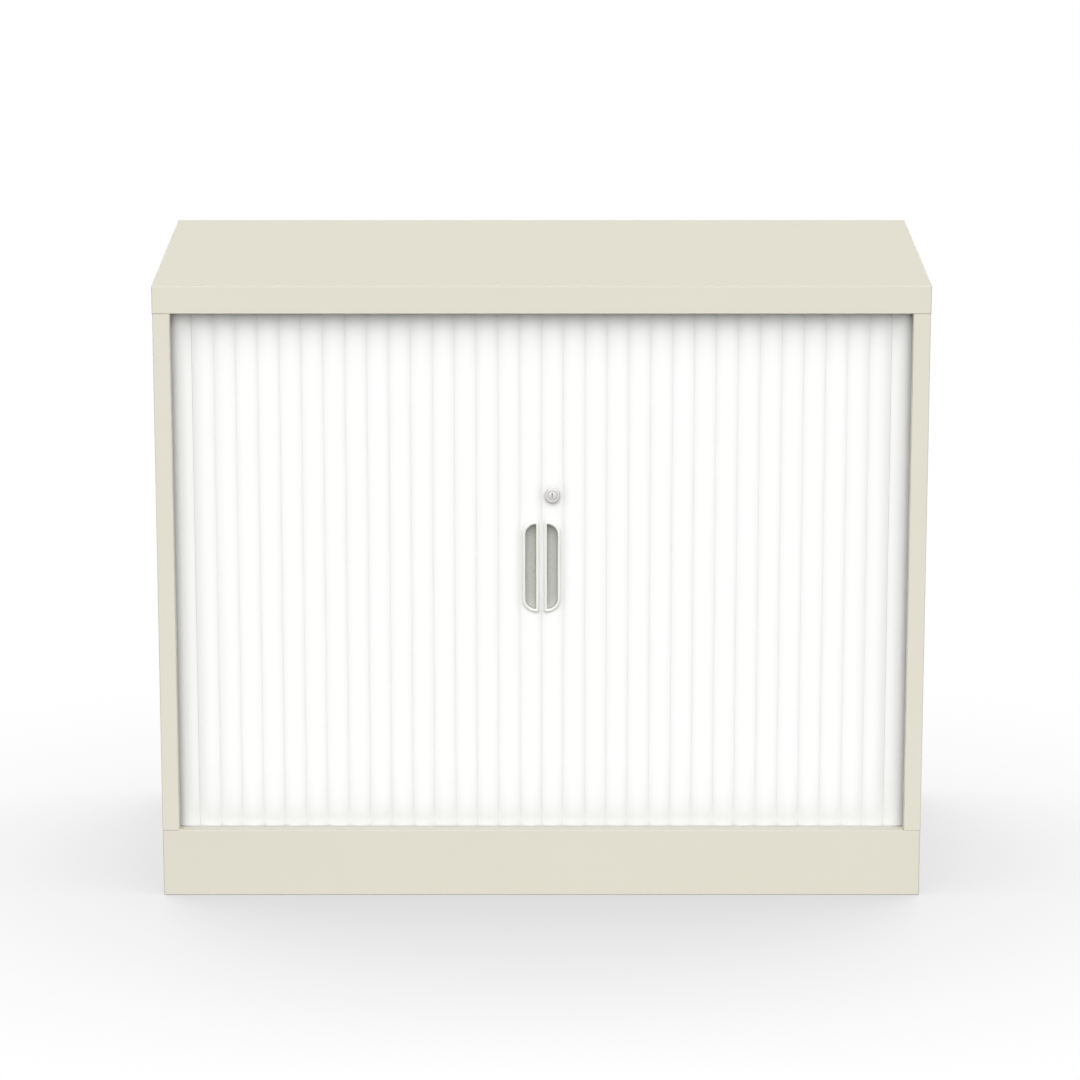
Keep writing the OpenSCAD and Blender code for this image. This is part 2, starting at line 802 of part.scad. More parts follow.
// Folded shelf with a full edge all round, open underneath
module shelf() {
  x = liner_in - shelf_gap;
  turn = 12;
  z0 = slot_first + clip_slot * slot_pitch;
  lo = [-x, shelf_front, z0];
  hi = [x, shelf_back, z0 + shelf_t];
  color(cream) difference() {
    block(lo, hi, [1, 1, 1, 1], [outer_r, outer_r, outer_r, outer_r], [outer_r, outer_r, outer_r, outer_r]);
    block(lo + sheet * [1, 1, 1], hi - sheet * [1, 1, 1], [0.5, 0.5, 0.5, 0.5],
      [fold_r, fold_r, fold_r, fold_r], [fold_r, fold_r, fold_r, fold_r]);
    box([lo.x + turn, lo.y + turn, z0 - 1], [hi.x - turn, hi.y - turn, z0 + 2 * sheet]);
  }
}

// Hooked clips that carry the shelf in the liners' slots
module shelf_clips() {
  w = 3.4;
  t = 1.2;
  leg = 14;
  ear = 4;
  tongue_z = 1 - slot_pitch;
  color([0.72, 0.72, 0.7])
    for (hand = [0, 1]) mirror([hand, 0, 0]) for (y = clip_ys)
      translate([0, y - w / 2, slot_first + clip_slot * slot_pitch]) {
        translate([liner_in - leg, -ear, -t]) cube([leg, w + 2 * ear, t]);
        translate([liner_in - t, -ear, -leg]) cube([t, w + 2 * ear, leg]);
        translate([liner_in - t, 0, tongue_z]) cube([t, w, slot_pitch]);
        translate([liner_in - t, 0, tongue_z]) cube([2 * t + sheet, w, 2]);
        translate([liner_x + 0.1, 0, tongue_z - 3]) cube([1.1, w, 5]);
      }
}

// ---- Fasteners at the back ----

rivet_r = 1.6;
rivet_rows = 6;
rivet_in = 40;

module rivet_spots() {
  x = joggle_x - 3 - back_flange / 2;
  rise = (lip_z - plinth_h - 2 * rivet_in) / (rivet_rows - 1);
  for (hand = [0, 1]) mirror([hand, 0, 0]) for (k = [0:rivet_rows - 1])
    translate([x, 0, plinth_h + rivet_in + k * rise]) rotate([-90, 0, 0]) children();
}

module back_rivets() {
  head = back - side_back - 0.05;
  color(cream) rivet_spots() {
    translate([0, 0, side_back]) cylinder(h = head, r1 = 2 * rivet_r, r2 = 1.5 * rivet_r);
    translate([0, 0, side_back - 4]) cylinder(h = 4 + eps, r = rivet_r);
    translate([0, 0, side_back - 4]) cylinder(h = 2.1, r = 1.5 * rivet_r);
  }
}

// ---- Levelling feet ----

bracket_t = 3;
bracket_z = 24;
bracket_w = 74;
bracket_rise = 22;
nut_r = 10;
weld_nut_h = 8;

module foot_brackets() {
  x = plinth_x - sheet;
  y = plinth_y - sheet;
  color([0.72, 0.72, 0.7])
    for (sx = [0, 1]) for (sy = [0, 1]) mirror([sx, 0, 0]) mirror([0, sy, 0]) difference() {
      union() {
        box([x - bracket_w, y - bracket_w, bracket_z], [x, y, bracket_z + bracket_t]);
        box([x - bracket_w, y - bracket_t, bracket_z], [x - 2, y, bracket_z + bracket_rise]);
        translate([half - foot_in, back - foot_in, bracket_z]) cylinder(h = bracket_t + weld_nut_h, r = nut_r, $fn = 6);
      }
      translate([half - foot_in, back - foot_in, 0]) cylinder(h = base_z, r = stem_r + 0.1);
      translate([x, y, bracket_z - 1]) cylinder(h = bracket_rise + 2, r = 3);
    }
}

// Screwed foot: pad, cone, spanner flats and threaded stem with a driver slot
module foot() {
  z0 = pad_lift;
  color([0.16, 0.16, 0.17]) difference() {
    union() {
      translate([0, 0, z0]) cylinder(h = 3.5, d = pad_d);
      translate([0, 0, z0 + 3.5]) cylinder(h = 6, d1 = pad_d, d2 = 16);
      translate([0, 0, z0 + 9]) cylinder(h = 6, d = 17, $fn = 6);
      translate([0, 0, z0 + 14]) cylinder(h = 36, r = stem_r);
    }
    translate([-0.7, -8, z0 + 47]) cube([1.4, 16, 5]);
  }
}

module foot_at(sx, sy) {
  translate([sx * (half - foot_in), sy * (back - foot_in), 0]) foot();
}

top_panel();
top_stiffener();
inner_top();
twin() right_side_panel();  // left_side_panel
right_side_panel();
back_panel();
base_panel();
front_sill();
plinth();
twin() right_liner();  // left_liner
right_liner();
shelf();
shelf_clips();
twin() right_top_track();  // left_top_track
right_top_track();
twin() right_bottom_track();  // left_bottom_track
right_bottom_track();
track_screws();
curtain_stops();
back_rivets();
foot_brackets();
foot_at(-1, -1);  // front_left_foot
foot_at(1, -1);  // front_right_foot
foot_at(-1, 1);  // back_left_foot
foot_at(1, 1);  // back_right_foot
left_lead_slat();
right_lead_slat();
twin() slat(2);  // left_slat_02
slat(2);  // right_slat_02
for (i = named_slats) {
  twin() slat(i);
  slat(i);
}
twin() tail_slats();  // left_tail_slats
tail_slats();  // right_tail_slats
twin() right_pull();  // left_pull
right_pull();
lock_barrel();
lock_nut();
lock_plug();
lock_cam();
cam_screw();
striker();
striker_screws();
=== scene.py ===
# Low steel cupboard with two side-opening slatted doors.
# The slats, pulls and lock are modelled here; the sheet steel and the fittings come from the frame.
import json
import math

import bmesh
import bpy
from mathutils import Matrix, Vector


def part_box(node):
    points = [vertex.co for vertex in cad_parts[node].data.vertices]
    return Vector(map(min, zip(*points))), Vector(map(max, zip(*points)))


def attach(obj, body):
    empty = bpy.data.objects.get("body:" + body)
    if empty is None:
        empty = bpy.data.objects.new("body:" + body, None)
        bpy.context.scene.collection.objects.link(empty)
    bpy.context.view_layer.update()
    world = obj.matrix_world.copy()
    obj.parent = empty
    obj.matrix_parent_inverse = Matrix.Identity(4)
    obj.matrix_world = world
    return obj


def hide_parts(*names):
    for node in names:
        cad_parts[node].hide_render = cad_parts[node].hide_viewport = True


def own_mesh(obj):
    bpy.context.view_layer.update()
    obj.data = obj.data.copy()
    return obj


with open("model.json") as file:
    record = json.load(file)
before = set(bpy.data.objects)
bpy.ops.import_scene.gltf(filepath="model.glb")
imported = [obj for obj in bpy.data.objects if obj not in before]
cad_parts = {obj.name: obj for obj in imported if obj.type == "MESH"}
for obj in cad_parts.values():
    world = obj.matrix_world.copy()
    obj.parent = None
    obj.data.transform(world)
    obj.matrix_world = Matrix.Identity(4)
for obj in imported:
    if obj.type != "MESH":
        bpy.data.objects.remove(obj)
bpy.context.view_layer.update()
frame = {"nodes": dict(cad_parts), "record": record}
nodes = frame["nodes"]
slotOf = {row["node"]: row["material_slot"] for row in frame["record"]["subparts"]}
print("frame loaded:", len(nodes), "nodes")


def deselectAll():
    if bpy.context.object and bpy.context.object.mode != "OBJECT":
        bpy.ops.object.mode_set(mode="OBJECT")
    bpy.ops.object.select_all(action="DESELECT")


def takeUp(piece):
    deselectAll()
    piece.select_set(True)
    bpy.context.view_layer.objects.active = piece


def editPiece(piece, mode="FACE"):
    takeUp(piece)
    bpy.ops.object.mode_set(mode="EDIT")
    bpy.ops.mesh.select_mode(type=mode)


# Picks the edges of the piece in edit mode that pass the test
def pickEdges(piece, test):
    mesh = bmesh.from_edit_mesh(piece.data)
    for part in list(mesh.faces) + list(mesh.edges) + list(mesh.verts):
        part.select_set(False)
    for edge in mesh.edges:
        if test(edge):
            edge.select_set(True)
    bmesh.update_edit_mesh(piece.data)


# Cuts away what lies past the point on the side that the normal points to, and closes the cut
def cutPast(point, normal):
    bpy.ops.mesh.select_all(action="SELECT")
    bpy.ops.mesh.bisect(plane_co=point, plane_no=normal, use_fill=True, clear_outer=True)


# Puts a new object's place, turn and size into its mesh
def settle(piece, name):
    takeUp(piece)
    bpy.ops.object.transform_apply(location=True, rotation=True, scale=True)
    piece.name = piece.data.name = name
    return piece


def carve(piece, tool, how="DIFFERENCE"):
    cut = piece.modifiers.new("cut", "BOOLEAN")
    cut.operation = how
    cut.solver = "EXACT"
    cut.object = tool
    takeUp(piece)
    bpy.ops.object.modifier_apply(modifier=cut.name)
    bpy.data.objects.remove(tool)


def addBox(low, high):
    deselectAll()
    low, high = Vector(low), Vector(high)
    bpy.ops.mesh.primitive_cube_add(size=1, location=(low + high) / 2)
    piece = bpy.context.object
    piece.scale = high - low
    return settle(piece, "box")


# A round rod along Z or Y; its centre is given by the two other axes
def addRod(radius, low, high, axis, centre, sides):
    deselectAll()
    turn = {"Z": (0, 0, 0), "Y": (math.pi / 2, 0, 0)}[axis]
    middle = (low + high) / 2
    place = (centre[0], centre[1], middle) if axis == "Z" else (centre[0], middle, centre[1])
    bpy.ops.mesh.primitive_cylinder_add(
        vertices=sides, radius=radius, depth=high - low, location=place, rotation=turn)
    return settle(bpy.context.object, "rod")


def joinTo(piece, other):
    takeUp(piece)
    other.select_set(True)
    bpy.ops.object.join()


def smoothOver(piece, angle=32):
    takeUp(piece)
    bpy.ops.object.shade_smooth_by_angle(angle=math.radians(angle))


# Merges the corners within the distance, drops stray edges and turns all the faces outwards
def cleanUp(piece, distance=0.00001):
    editPiece(piece)
    bpy.ops.mesh.select_all(action="SELECT")
    if distance:
        bpy.ops.mesh.remove_doubles(threshold=distance)
    bpy.ops.mesh.delete_loose(use_verts=True, use_edges=True, use_faces=False)
    bpy.ops.mesh.select_all(action="SELECT")
    bpy.ops.mesh.normals_make_consistent(inside=False)
    bpy.ops.object.mode_set(mode="OBJECT")


# A copy with its own mesh, moved by the matrix; a mirrored one is turned right side out
def copyOf(piece, name, move):
    copy = piece.copy()
    copy.data = piece.data.copy()
    copy.name = copy.data.name = name
    bpy.context.collection.objects.link(copy)
    copy.data.transform(move)
    if move.determinant() < 0:
        copy.data.flip_normals()
    return copy


mirrorX = Matrix.Scale(-1, 4, (1, 0, 0))
cutPastBy = 0.01  # how far a cutting tool reaches past the ends of what it cuts
cutOpenBy = 0.001  # how far it reaches out of an open side
fineMerge = 0.0000005  # how near corners merge in the turned parts, whose rings lie close


# A value or colour in a node tree that can stand in a sum
class Reading:
    def __init__(self, finish, socket):
        self.finish = finish
        self.socket = socket

    def sum(self, operation, first, second):
        return self.finish.node("ShaderNodeMath", {"operation": operation}, {0: first, 1: second})

    def __add__(self, other):
        return self.sum("ADD", self, other)

    def __radd__(self, other):
        return self.sum("ADD", other, self)

    def __sub__(self, other):
        return self.sum("SUBTRACT", self, other)

    def __rsub__(self, other):
        return self.sum("SUBTRACT", other, self)

    def __mul__(self, other):
        return self.sum("MULTIPLY", self, other)

    def __rmul__(self, other):
        return self.sum("MULTIPLY", other, self)

    def __pow__(self, other):
        return self.sum("POWER", self, other)

    def __gt__(self, other):
        return self.sum("GREATER_THAN", self, other)

    def limited(self):  # to between 0 and 1
        return self.finish.node("ShaderNodeClamp", {}, {"Value": self})

    def sharper(self, gain):  # stretched about its middle
        return (self * gain - (gain - 1) / 2).limited()

    def swing(self, size):  # as far below nothing as above it
        return (self - 0.5) * size


class Finish:
    def __init__(self, name, holder=None):
        self.holder = holder or bpy.data.materials.new(name)
        self.holder.use_nodes = True
        self.tree = self.holder.node_tree
        self.tree.nodes.clear()

    # One node: its type, its settings, then the values or links of its sockets
    def node(self, kind, settings, sockets, output=0):
        made = self.tree.nodes.new(kind)
        for key, value in settings.items():
            setattr(made, key, value)
        for key, value in sockets.items():
            if isinstance(value, Reading):
                self.tree.links.new(value.socket, made.inputs[key])
            else:
                made.inputs[key].default_value = value
        return Reading(self, made.outputs[output])

    def place(self, stretch=(1, 1, 1)):
        spot = self.node("ShaderNodeTexCoord", {}, {}, "Object")
        return self.node("ShaderNodeMapping", {}, {"Vector": spot, "Scale": stretch})

    # How much the surface looks along one axis
    def facing(self, axis):
        normal = self.node("ShaderNodeNewGeometry", {}, {}, "Normal")
        return self.node("ShaderNodeSeparateXYZ", {}, {"Vector": normal}, axis)

    # How open the space round the surface is, up to a distance
    def openness(self, samples, **sockets):
        return self.node("ShaderNodeAmbientOcclusion", {"samples": samples}, sockets, "AO")

    def noise(self, scale, detail, stretch=(1, 1, 1), roughness=0.5):
        return self.node("ShaderNodeTexNoise", {}, {
            "Vector": self.place(stretch), "Scale": scale, "Detail": detail, "Roughness": roughness})

    def between(self, share, first, second):
        return self.node("ShaderNodeMix", {"data_type": "RGBA"}, {0: share, 6: first, 7: second}, 2)

    # From one share of a colour to another
    def shades(self, share, colour, first, second):
        return self.between(share, lighter(colour, first), lighter(colour, second))

    def bump(self, height, strength, distance):
        return self.node("ShaderNodeBump", {}, {
            "Strength": strength, "Distance": distance, "Height": height})

    def close(self, colour, roughness, normal, **constants):
        sockets = {"Base Color": colour, "Roughness": roughness, "Normal": normal}
        sockets.update({key.replace("_", " "): value for key, value in constants.items()})
        self.out(self.node("ShaderNodeBsdfPrincipled", {}, sockets))
        return self.holder

    def out(self, skin, end="ShaderNodeOutputMaterial"):
        self.tree.links.new(skin.socket, self.tree.nodes.new(end).inputs["Surface"])


# A colour as it is read off a screen, 0 to 255, made linear
def screen(red, green, blue):
    def linear(part):
        part /= 255
        return part / 12.92 if part <= 0.04045 else ((part + 0.055) / 1.055) ** 2.4
    return (linear(red), linear(green), linear(blue), 1.0)


def lighter(colour, share):
    return tuple(part * share for part in colour[:3]) + (1.0,)


powderCoat = {
    "colour": screen(223, 220, 205), "thin": 0.985, "thick": 1.012, "speck": 0.93, "fold": 0.84,
    "darker": 0.98, "paintedShadeUp": 0.79, "peel": 620, "grain": 2400, "cloud": 3.2, "contrast": 1.6,
    "speckFrom": 0.62, "speckShare": 0.35, "foldGain": 2, "underGain": 4,
    "roughness": 0.6, "peelSwing": 0.16, "cloudSwing": 0.08, "shine": 0.14,
    "bump": 0.16, "grainBump": 0.4, "bumpHeight": 0.00025,
}


# On the plinth and the ledge the coat is a shade darker all over, with painted shade on its upward faces
def makePowderCoat(name, darkerAndShaded=False):
    finish = Finish(name)
    want = powderCoat
    peel = finish.noise(want["peel"], 2.0)
    grain = finish.noise(want["grain"], 1.0)
    cloud = finish.noise(want["cloud"], 3.0)
    # The coat is a hair paler where it lies thick, and very finely speckled
    coat = lighter(want["colour"], want["darker"] if darkerAndShaded else 1)
    colour = finish.shades(cloud.sharper(want["contrast"]), coat, want["thin"], want["thick"])
    specks = (grain > want["speckFrom"]) * want["speckShare"]
    colour = finish.between(specks, colour, lighter(coat, want["speck"]))
    # Painted shade on the folds, where the surface looks along no single axis, but not on those below
    x, y, z = [finish.facing(axis) for axis in "XYZ"]
    fold = ((1 - x ** 4 - y ** 4 - z ** 4) * want["foldGain"]).limited()
    notBelow = (z * want["underGain"] + 1).limited()
    colour = finish.between(fold * notBelow, colour, lighter(coat, want["fold"]))
    # Painted shade: the upward faces are darkened
    if darkerAndShaded:
        colour = finish.between(z.limited(), colour, lighter(coat, want["paintedShadeUp"]))
    roughness = want["roughness"] + peel.swing(want["peelSwing"]) + cloud.swing(want["cloudSwing"])
    normal = finish.bump(peel + grain * want["grainBump"], want["bump"], want["bumpHeight"])
    return finish.close(colour, roughness, normal, Specular_IOR_Level=want["shine"])


# Painted shade on the curtain where another piece stands close over it, as under the lip, beside the posts
# and round the pulls and lock: how far round, how fast and how much at most
curtainPlastic = {
    "colour": screen(253, 253, 252), "dull": 0.985, "streak": 420, "along": 0.012, "contrast": 2.2,
    "paintedShadeReach": 0.09, "paintedShadeSamples": 16, "dustAndPaintedShadeGain": 5.0, "paintedShadeMost": 0.19,
    "grain": 1800, "roughness": 0.5, "grainSwing": 0.14, "streakSwing": 0.1,
    "bump": 0.1, "grainBump": 0.5, "bumpHeight": 0.0002,
}


def makeCurtainPlastic():
    finish = Finish("whiteCurtainPlastic")
    want = curtainPlastic
    streak = finish.noise(want["streak"], 2.0, (1, 1, want["along"]))
    grain = finish.noise(want["grain"], 2.0)
    colour = finish.shades(streak.sharper(want["contrast"]), want["colour"], want["dull"], 1)
    # Painted shade, darkest where the surface is most hemmed in
    openness = finish.openness(want["paintedShadeSamples"], Distance=want["paintedShadeReach"])
    dustAndPaintedShade = ((1 - openness) * want["dustAndPaintedShadeGain"]).limited() * want["paintedShadeMost"]
    colour = finish.between(dustAndPaintedShade, colour, (0, 0, 0, 1))
    roughness = want["roughness"] + grain.swing(want["grainSwing"]) + streak.swing(want["streakSwing"])
    normal = finish.bump(grain * want["grainBump"] + streak, want["bump"], want["bumpHeight"])
    return finish.close(colour, roughness, normal)


pullRim = {
    "colour": screen(236, 237, 229), "dull": 0.98, "grain": 1300, "contrast": 1.8,
    "roughness": 0.42, "swing": 0.1, "bump": 0.06, "bumpHeight": 0.0002,
}


def makePullRim():
    finish = Finish("palePullRim")
    want = pullRim
    grain = finish.noise(want["grain"], 2.0)
    colour = finish.shades(grain.sharper(want["contrast"]), want["colour"], want["dull"], 1)
    normal = finish.bump(grain, want["bump"], want["bumpHeight"])
    return finish.close(colour, want["roughness"] + grain.swing(want["swing"]), normal)


pullCup = {
    "colour": screen(186, 188, 181), "dark": 0.84, "pale": 1.12,
    "speckle": 1500, "speckleRough": 0.65, "speckleGain": 1.4, "speckleFrom": 0.2,
    "blotch": 620, "blotchRough": 0.7, "blotchSwing": 2.2,
    "roughness": 0.6, "swing": 0.2, "bump": 0.3, "bumpHeight": 0.0003,
}


def makePullCup():
    finish = Finish("greyPullCup")
    want = pullCup
    speckle = finish.noise(want["speckle"], 3.0, roughness=want["speckleRough"])
    blotch = finish.noise(want["blotch"], 2.0, roughness=want["blotchRough"])
    share = speckle * want["speckleGain"] - want["speckleFrom"] + blotch.swing(want["blotchSwing"])
    colour = finish.shades(share.limited(), want["colour"], want["dark"], want["pale"])
    normal = finish.bump(speckle, want["bump"], want["bumpHeight"])
    return finish.close(colour, want["roughness"] + speckle.swing(want["swing"]), normal)


trackPlastic = {
    "colour": (0.50, 0.51, 0.50, 1.0), "dark": 0.9, "pale": 1.06, "grain": 900, "rub": 34, "contrast": 1.8,
    "roughness": 0.48, "swing": 0.16, "bump": 0.1, "bumpHeight": 0.0002,
}


def makeTrackPlastic():
    finish = Finish("greyTrackPlastic")
    want = trackPlastic
    grain = finish.noise(want["grain"], 3.0)
    rub = finish.noise(want["rub"], 3.0)
    colour = finish.shades(rub.sharper(want["contrast"]), want["colour"], want["dark"], want["pale"])
    normal = finish.bump(grain, want["bump"], want["bumpHeight"])
    return finish.close(colour, want["roughness"] + grain.swing(want["swing"]), normal)


zincPlate = {
    "colour": (0.60, 0.61, 0.62, 1.0), "dark": 0.9, "pale": 1.08, "flake": 150, "scratch": 700, "along": 0.1,
    "roughness": 0.34, "swing": 0.14, "metal": 1.0, "bump": 0.05, "bumpHeight": 0.0002,
}


def makeZincPlate():
    finish = Finish("zincPlate")
    want = zincPlate
    cells = {"Vector": finish.place(), "Scale": want["flake"]}
    flake = finish.node("ShaderNodeTexVoronoi", {}, cells, "Color")
    tone = finish.node("ShaderNodeSeparateColor", {}, {"Color": flake})
    scratch = finish.noise(want["scratch"], 2.0, (1, want["along"], 1))
    colour = finish.shades(tone, want["colour"], want["dark"], want["pale"])
    roughness = want["roughness"] + tone.swing(want["swing"]) + scratch.swing(want["swing"])
    normal = finish.bump(scratch, want["bump"], want["bumpHeight"])
    return finish.close(colour, roughness, normal, Metallic=want["metal"])


lockNickel = {
    "colour": (0.62, 0.61, 0.605, 1.0), "dark": 0.95, "pale": 1.04,
    "brush": 1500, "across": 0.06, "cloud": 180,
    "roughness": 0.52, "swing": 0.2, "metal": 0.3, "bump": 0.06, "bumpHeight": 0.0002,
}


def makeLockNickel():
    finish = Finish("satinNickel")
    want = lockNickel
    brush = finish.noise(want["brush"], 2.0, (want["across"], 1, 1))
    cloud = finish.noise(want["cloud"], 2.0)
    colour = finish.shades(cloud, want["colour"], want["dark"], want["pale"])
    roughness = want["roughness"] + brush.swing(want["swing"])
    normal = finish.bump(brush, want["bump"], want["bumpHeight"])
    return finish.close(colour, roughness, normal, Metallic=want["metal"])


blackRubber = {"name": "blackRubber", "colour": (0.035, 0.035, 0.036, 1.0), "roughness": 0.72, "grain": 900}
blackNylon = {"name": "blackNylon", "colour": (0.028, 0.028, 0.03, 1.0), "roughness": 0.5, "grain": 1400}
# What the two have in common: dust in patches, and a grain
darkPlastic = {
    "dustAndPaintedShade": 60, "dustAndPaintedShadeGain": 2.4, "dustFrom": 1.0, "dusty": 2.1,
    "swing": 0.2, "bump": 0.25, "bumpHeight": 0.0003,
}


def makeDarkPlastic(kind):
    finish = Finish(kind["name"])
    want = darkPlastic
    grain = finish.noise(kind["grain"], 3.0)
    dustAndPaintedShade = finish.noise(want["dustAndPaintedShade"], 3.0) * want["dustAndPaintedShadeGain"] - want["dustFrom"]
    colour = finish.shades(dustAndPaintedShade.limited(), kind["colour"], 1, want["dusty"])
    normal = finish.bump(grain, want["bump"], want["bumpHeight"])
    return finish.close(colour, kind["roughness"] + grain.swing(want["swing"]), normal)


finishes = {
    "cream_steel": makePowderCoat("creamPowderCoat"),
    "curtain_plastic": makeCurtainPlastic(),
    "pull_plastic": makePullRim(),
    "track_plastic": makeTrackPlastic(),
    "zinc_steel": makeZincPlate(),
    "lock_metal": makeLockNickel(),
    "stop_rubber": makeDarkPlastic(blackRubber),
    "foot_plastic": makeDarkPlastic(blackNylon),
}
cupFinish = makePullCup()
shadedCoat = makePowderCoat("shadedPowderCoat", True)
shadedCoatNodes = ("front_sill", "plinth")  # the ledge under the slats' feet, and the plinth

for name, node in nodes.items():
    node.material_slots[0].material = shadedCoat if name in shadedCoatNodes else finishes[slotOf[name]]
print("finishes made:", len({*finishes.values(), cupFinish, shadedCoat}))


def dress(piece, slot, body, *replaced):
    piece.data.materials.clear()
    piece.data.materials.append(finishes[slot])
    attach(piece, body)
    if replaced:
        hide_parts(*replaced)


slat = {
    "pitch": 0.0282, "valley": 0.00004, "thick": 0.008, "crown": 0.0028, "wall": 0.0013,
    "beadBack": 0.003, "bead": 0.0013, "beadGap": 0.0002, "neck": 0.001, "edge": 0.00012,
    "plug": 0.010, "count": 18, "firstTail": 12, "cornerRadius": 0.014, "shy": 0.0001, "lap": 0.0004,
    "hookFrom": 208, "hookTurn": 250, "hookSteps": 16, "mouthShort": 0.0008,
    "crownSides": 180, "beadSides": 20, "boreSides": 24, "edgeSteps": 4,
}
slat["ring"] = 2 * slat["bead"]
slat["bore"] = slat["bead"] + slat["beadGap"]
slat["crest"] = slat["thick"] - slat["ring"]
chord = slat["pitch"] - slat["valley"]
crownRadius = (chord ** 2 / 4 + slat["crown"] ** 2) / (2 * slat["crown"])
slatLow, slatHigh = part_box("right_slat_02")
footZ, headZ = slatLow.z, slatHigh.z
beadLineY = slatHigh.y - slat["ring"]


# Crowned bar between two sides, its back at the ring's depth, all drawn in by the wall
def crownedBar(left, right, middle, wall, low, high):
    deselectAll()
    radius = crownRadius - wall
    bpy.ops.mesh.primitive_cylinder_add(
        vertices=slat["crownSides"], radius=radius, depth=high - low,
        location=(middle, crownRadius - slat["crest"], (low + high) / 2))
    bar = settle(bpy.context.object, "bar")
    editPiece(bar)
    cutPast((left + wall, 0, 0), (-1, 0, 0))
    cutPast((right - wall, 0, 0), (1, 0, 0))
    cutPast((0, slat["ring"] - wall, 0), (0, 1, 0))
    bpy.ops.object.mode_set(mode="OBJECT")
    cleanUp(bar)
    return bar


# Rounds the two upright edges that face each other across a valley
def softenValley(bar, left, right):
    edgeY = -(slat["crest"] - slat["crown"])
    nearX, nearY = 0.0001, 0.0004  # how close counts as at a side and at the front

    def facesValley(edge):
        first, second = (corner.co for corner in edge.verts)
        upright = abs(first.z - second.z) > slat["pitch"]
        atSide = min(abs(first.x - left), abs(first.x - right)) < nearX
        return upright and atSide and abs(first.y - edgeY) < nearY

    editPiece(bar, "EDGE")
    pickEdges(bar, facesValley)
    bpy.ops.mesh.bevel(offset=slat["edge"], segments=slat["edgeSteps"], affect="EDGES")
    bpy.ops.object.mode_set(mode="OBJECT")


# Neck and bead that hook into the next slat's ring. Each stops shy of the ends of what it joins,
# because a union whose end faces all but coincide comes out a little differently each run
def beadStrip(start, atX):
    low, high = footZ + 2 * slat["shy"], headZ - 2 * slat["shy"]
    half = slat["neck"] / 2
    neck = addBox((start - slat["lap"], -half, low), (atX - slat["bead"] / 2, half, high))
    bead = addRod(slat["bead"], low + slat["shy"], high - slat["shy"], "Z", (atX, 0), slat["beadSides"])
    carve(neck, bead, "UNION")
    return neck


# A following slat with its open ring on the origin, its bead one pitch along X and its crown towards -Y
def modelSlat():
    middle = slat["pitch"] / 2 - slat["beadBack"]
    left = slat["valley"] / 2 - slat["beadBack"]
    right = left + chord
    ring, bore, wall = slat["ring"], slat["bore"], slat["wall"]
    piece = crownedBar(left, right, middle, 0, footZ, headZ)
    softenValley(piece, left, right)
    low, high = footZ - cutPastBy, headZ + cutPastBy
    carve(piece, crownedBar(ring + slat["lap"] - wall, right, middle, wall, low, high))
    # Room under the hood for the ring of this slat and the neck of the last one
    hoodY = -(slat["crest"] - slat["crown"] - wall)
    carve(piece, addBox((left - cutOpenBy, hoodY, low), (0, ring + cutOpenBy, high)))
    carve(piece, addRod(bore, low, high, "Z", (0, 0), slat["boreSides"]))
    carve(piece, addBox((-cutOpenBy, bore / 2, low), (ring - slat["mouthShort"], ring + cutOpenBy, high)))
    # The ring is a flat strip spun round the bead's axis, open towards the back
    deselectAll()
    bpy.ops.mesh.primitive_plane_add(size=1, location=((ring + bore) / 2, 0, (footZ + headZ) / 2),
                                     rotation=(math.pi / 2, 0, 0))
    hook = bpy.context.object
    hook.scale = (ring - bore, headZ - footZ - 2 * slat["shy"], 1)
    settle(hook, "hook")
    hook.data.transform(Matrix.Rotation(math.radians(slat["hookFrom"]), 4, "Z"))
    editPiece(hook)
    bpy.ops.mesh.select_all(action="SELECT")
    turn = math.radians(slat["hookTurn"])
    bpy.ops.mesh.spin(steps=slat["hookSteps"], angle=turn, center=(0, 0, 0), axis=(0, 0, -1))
    bpy.ops.object.mode_set(mode="OBJECT")
    cleanUp(hook)
    carve(piece, hook, "UNION")
    carve(piece, beadStrip(right, slat["pitch"]), "UNION")
    # The last union leaves nothing to merge
    cleanUp(piece, 0)
    smoothOver(piece)
    return piece


# The beads' line in the side pocket: inside the track by its groove and wall, and off the slats' middle
pocketTrack = {"groove": 0.0045, "wall": 0.0011}
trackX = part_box("right_bottom_track")[1].x - pocketTrack["groove"] - pocketTrack["wall"]
cornerX = trackX - (slat["thick"] / 2 - slat["ring"])


# Point on the beads' line at a distance from the middle of the cupboard, with the turn into the pocket
def beadLine(run):
    radius = slat["cornerRadius"]
    straight = cornerX - radius
    if run <= straight:
        return Vector((run, beadLineY))
    angle = (run - straight) / radius
    if angle <= math.pi / 2:
        return Vector((straight + radius * math.sin(angle), beadLineY + radius - radius * math.cos(angle)))
    return Vector((cornerX, beadLineY + radius + run - straight - radius * math.pi / 2))


# Beads lie one pitch apart as the crow flies; halving finds how far that is along the line
def beadRuns():
    runs = [slat["beadBack"]]
    for _ in range(slat["count"]):
        low, high = runs[-1] + slat["pitch"] * 0.9, runs[-1] + slat["pitch"] * 1.4
        for _ in range(40):  # halvings
            middle = (low + high) / 2
            if (beadLine(middle) - beadLine(runs[-1])).length < slat["pitch"]:
                low = middle
            else:
                high = middle
        runs.append((low + high) / 2)
    return runs


# As a door opens, each slat past the second runs behind the post and stacks up in the side pocket; here the
# squeeze and place for that are only worked out, not applied, and the piece gets a mesh of its own
stack = {"joinX": 0.4842, "firstX": 0.4844, "step": 0.00087, "width": 0.00082, "travel": 0.4}


